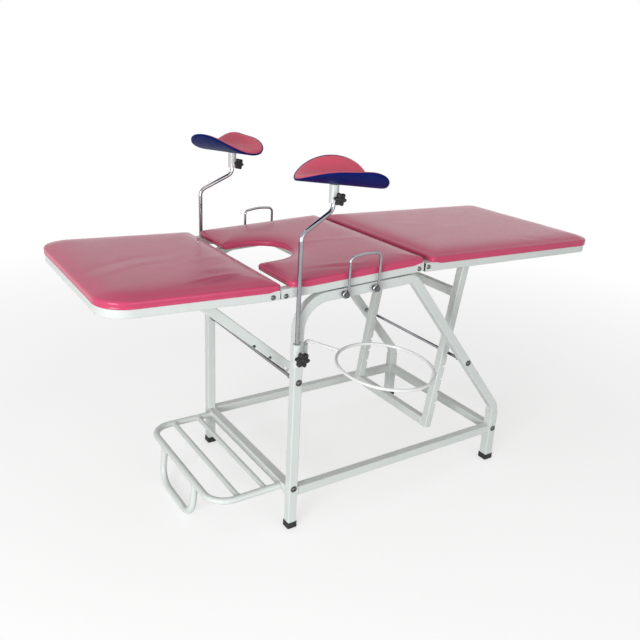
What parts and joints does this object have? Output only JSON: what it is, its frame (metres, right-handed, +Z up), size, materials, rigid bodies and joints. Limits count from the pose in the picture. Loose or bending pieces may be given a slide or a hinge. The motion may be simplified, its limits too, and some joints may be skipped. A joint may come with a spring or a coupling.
{
  "type": "gynaecological examination table",
  "caption": "Padded gynaecological examination table in bent square tube with folding leg and back sections, knee rests on rods, hand grips, a swing-out basin ring and a step.",
  "frame": {"origin": "middle of the overall box, on the floor", "axes": "+X from the foot end to the head end, +Y from the basin ring's side to the other side, +Z up"},
  "size_m": [1.7342, 1.0638, 1.0966],
  "materials": {
    "frame_paint": "semi-gloss off-white powder coat",
    "ring_paint": "semi-gloss white powder coat",
    "chrome": "bright chrome plate",
    "fasteners": "zinc-plated steel",
    "vinyl": "glossy pink vinyl",
    "rest_vinyl": "glossy pink vinyl",
    "rest_shell": "deep blue gloss",
    "board": "plain plywood",
    "rubber": "matt black rubber",
    "knob": "black moulded plastic"
  },
  "bodies": {
    "base": {"side_frame_near": "frame_paint", "side_frame_far": "frame_paint", "rear_leg_near": "frame_paint", "rear_leg_far": "frame_paint", "lower_rail_near": "frame_paint", "lower_rail_far": "frame_paint", "front_cross_rail": "frame_paint", "rear_cross_rail": "frame_paint", "leg_catch_rod": "chrome", "back_catch_rod": "chrome", "frame_bolts": "fasteners", "rubber_feet": "rubber", "seat_rail_frame": "frame_paint", "seat_packing": "fasteners", "seat_board": "board", "seat_pad": "vinyl", "seat_hinge_pins": "fasteners", "back_hinge_plates": "fasteners", "hand_grip_near": "chrome", "hand_grip_far": "chrome", "grip_fixings": "fasteners", "step_frame": "frame_paint", "step_slats": "frame_paint", "step_loop_leg": "frame_paint", "rod_socket_near": "frame_paint", "rod_socket_far": "frame_paint", "basin_sleeve": "frame_paint"},
    "leg_section": {"leg_frame": "frame_paint", "leg_hinge_plates": "fasteners", "leg_board": "board", "leg_pad": "vinyl", "leg_prop_lugs": "frame_paint"},
    "leg_prop": {"leg_prop": "frame_paint"},
    "back_section": {"back_frame": "frame_paint", "back_board": "board", "back_pad": "vinyl", "back_prop_lugs": "frame_paint"},
    "back_prop": {"back_prop": "frame_paint"},
    "rod_near": {"support_rod_near": "chrome"},
    "rod_far": {"support_rod_far": "chrome"},
    "rest_near": {"rest_sleeve_near": "frame_paint", "rest_shell_near": "rest_shell", "rest_pad_near": "rest_vinyl"},
    "rest_far": {"rest_sleeve_far": "frame_paint", "rest_shell_far": "rest_shell", "rest_pad_far": "rest_vinyl"},
    "socket_knob_near": {"socket_knob_near": "knob"},
    "socket_knob_far": {"socket_knob_far": "knob"},
    "rest_knob_near": {"rest_knob_near": "knob"},
    "rest_knob_far": {"rest_knob_far": "knob"},
    "basin_ring": {"basin_ring": "ring_paint"}
  },
  "joints": [
    {"name": "leg_fold", "type": "hinge", "parent": "base", "child": "leg_section", "pos_m": [-0.38228, 0.09487, 0.752], "axis": [0, 1, 0], "range_deg": [-90, 0]},
    {"name": "leg_prop_swing", "type": "hinge", "parent": "leg_section", "child": "leg_prop", "pos_m": [-0.61228, 0.09487, 0.757], "axis": [0, 1, 0], "range_deg": [-2, 52]},
    {"name": "back_raise", "type": "hinge", "parent": "base", "child": "back_section", "pos_m": [0.10672, 0.09487, 0.774], "axis": [0, -1, 0], "range_deg": [0, 60]},
    {"name": "back_prop_swing", "type": "hinge", "parent": "back_section", "child": "back_prop", "pos_m": [0.35772, 0.09487, 0.755], "axis": [0, -1, 0], "range_deg": [-53, 2]},
    {"name": "rod_near_slide", "type": "slide", "parent": "base", "child": "rod_near", "axis": [0, 0, 1], "range_m": [-0.14, 0.025]},
    {"name": "rod_far_slide", "type": "slide", "parent": "base", "child": "rod_far", "axis": [0, 0, 1], "range_m": [-0.14, 0.025]},
    {"name": "rest_near_swivel", "type": "hinge", "parent": "rod_near", "child": "rest_near", "pos_m": [-0.24628, -0.20213, 1.01], "axis": [0, 0, 1], "range_deg": [-90, 90]},
    {"name": "rest_far_swivel", "type": "hinge", "parent": "rod_far", "child": "rest_far", "pos_m": [-0.24628, 0.39187, 1.01], "axis": [0, 0, 1], "range_deg": [-90, 90]},
    {"name": "socket_knob_near_turn", "type": "hinge", "parent": "base", "child": "socket_knob_near", "pos_m": [-0.35128, -0.23913, 0.58], "axis": [0, -1, 0], "range_deg": [0, 360]},
    {"name": "socket_knob_far_turn", "type": "hinge", "parent": "base", "child": "socket_knob_far", "pos_m": [-0.35128, 0.42887, 0.58], "axis": [0, 1, 0], "range_deg": [0, 360]},
    {"name": "rest_knob_near_turn", "type": "hinge", "parent": "rest_near", "child": "rest_knob_near", "pos_m": [-0.24628, -0.22213, 1.004], "axis": [0, -1, 0], "range_deg": [0, 360]},
    {"name": "rest_knob_far_turn", "type": "hinge", "parent": "rest_far", "child": "rest_knob_far", "pos_m": [-0.23944, 0.37307, 1.004], "axis": [0.342, -0.9397, 0], "range_deg": [0, 360]},
    {"name": "basin_swing", "type": "hinge", "parent": "base", "child": "basin_ring", "pos_m": [-0.31028, -0.19513, 0.59], "axis": [0, 0, 1], "range_deg": [-20, 135]}
  ],
  "couplings": [
    {"joint": "leg_prop_swing", "follows": "leg_fold", "ratio": -0.54},
    {"joint": "back_prop_swing", "follows": "back_raise", "ratio": -0.83}
  ]
}
